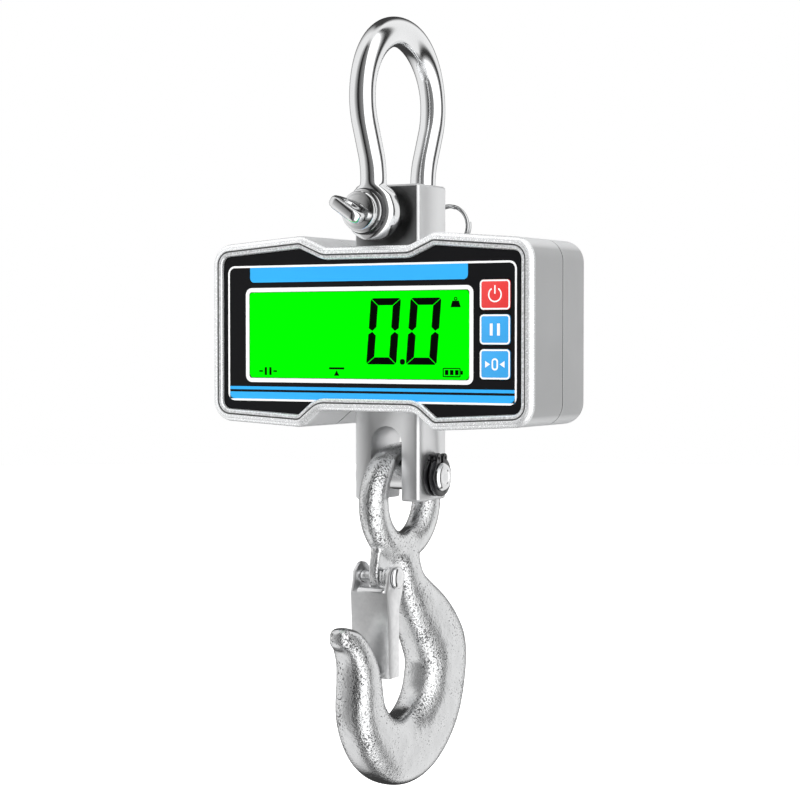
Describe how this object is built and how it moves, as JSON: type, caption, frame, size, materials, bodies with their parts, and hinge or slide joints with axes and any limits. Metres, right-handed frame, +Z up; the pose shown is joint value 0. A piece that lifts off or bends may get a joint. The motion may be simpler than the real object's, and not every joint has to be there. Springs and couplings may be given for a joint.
{
  "type": "crane scale",
  "caption": "Hanging crane scale with a bow shackle, a wide display housing round a steel load cell block, and an eye hook with a spring latch.",
  "frame": {"origin": "inside of the shackle's crown, where the scale hangs, in the middle plane of the pin", "axes": "+X to the right of the display, +Y to the back, +Z up, along the line of pull"},
  "size_m": [0.185, 0.1216, 0.3912],
  "materials": {
    "stainless": "polished stainless steel",
    "black_steel": "black oxide, semi-gloss",
    "block_steel": "fine ground, satin",
    "zinc": "hot-dip galvanised forging, grainy",
    "zinc_sheet": "zinc plated sheet, satin",
    "brass": "plated",
    "alloy": "cast alloy, fine satin texture",
    "rubber": "matt",
    "overlay": "satin printed film",
    "window": "clear window over a lit green display",
    "board": "solder mask",
    "white_plastic": "matt",
    "black_plastic": "matt",
    "red_key": "satin film",
    "blue_key": "satin film",
    "battery_wrap": "shrink film"
  },
  "bodies": {
    "shackle": {"shackle_bow": "stainless", "shackle_pin": "stainless", "pin_washer": "black_steel"},
    "scale": {"hook_pin": "stainless", "cover_screw_1": "stainless", "cover_screw_2": "stainless", "cover_screw_3": "stainless", "cover_screw_4": "stainless", "board_screw_1": "stainless", "board_screw_2": "stainless", "board_screw_3": "stainless", "board_screw_4": "stainless", "bracket_screw_1": "stainless", "bracket_screw_2": "stainless", "pin_circlip_inner": "black_steel", "pin_circlip_outer": "black_steel", "load_cell": "block_steel", "gauge_cover_front": "alloy", "gauge_cover_rear": "alloy", "front_shell": "alloy", "rear_cover": "alloy", "cell_bracket": "alloy", "strain_gauge_front": "brass", "strain_gauge_rear": "brass", "board_standoff_1": "brass", "board_standoff_2": "brass", "board_standoff_3": "brass", "board_standoff_4": "brass", "shell_gasket_left": "rubber", "shell_gasket_right": "rubber", "seal_top": "rubber", "seal_bottom": "rubber", "charge_plug": "rubber", "cell_lead": "rubber", "battery_lead": "rubber", "display_lead": "rubber", "overlay_panel": "overlay", "display_window": "window", "lcd_glass": "window", "lcd_backlight": "white_plastic", "key_switch_power": "black_plastic", "key_switch_hold": "black_plastic", "key_switch_tare": "black_plastic", "lcd_frame": "black_plastic", "ir_receiver": "black_plastic", "battery_tray": "black_plastic", "charge_socket": "black_plastic", "display_board": "board", "main_board": "board", "battery_cell_1": "battery_wrap", "battery_cell_2": "battery_wrap"},
    "ring": {"split_ring": "stainless"},
    "hook": {"hook": "zinc"},
    "latch": {"latch": "zinc_sheet", "latch_rivet": "zinc", "latch_spring": "stainless"},
    "key_power": {"key_power": "red_key"},
    "key_hold": {"key_hold": "blue_key"},
    "key_tare": {"key_tare": "blue_key"}
  },
  "joints": [
    {"name": "scale_swing", "type": "hinge", "parent": "shackle", "child": "scale", "pos_m": [0, 0, -0.085], "axis": [0, 1, 0], "range_deg": [-80, 80]},
    {"name": "ring_swing", "type": "hinge", "parent": "shackle", "child": "ring", "pos_m": [0, 0.03695, -0.085], "axis": [0.4226, 0, 0.9063], "range_deg": [0, 90]},
    {"name": "hook_swing", "type": "hinge", "parent": "scale", "child": "hook", "pos_m": [0, 0.002, -0.218], "axis": [1, 0, 0], "range_deg": [-45, 45]},
    {"name": "latch_swing", "type": "hinge", "parent": "hook", "child": "latch", "pos_m": [0, -0.0205, -0.2678], "axis": [1, 0, 0], "range_deg": [0, 32], "stiffness_Nm_per_rad": 0.05, "springref_deg": -34.38},
    {"name": "key_power_press", "type": "slide", "parent": "scale", "child": "key_power", "axis": [0, 1, 0], "range_m": [0, 0.0005], "stiffness_N_per_m": 1500, "springref_m": -0.0004},
    {"name": "key_hold_press", "type": "slide", "parent": "scale", "child": "key_hold", "axis": [0, 1, 0], "range_m": [0, 0.0005], "stiffness_N_per_m": 1500, "springref_m": -0.0004},
    {"name": "key_tare_press", "type": "slide", "parent": "scale", "child": "key_tare", "axis": [0, 1, 0], "range_m": [0, 0.0005], "stiffness_N_per_m": 1500, "springref_m": -0.0004}
  ]
}
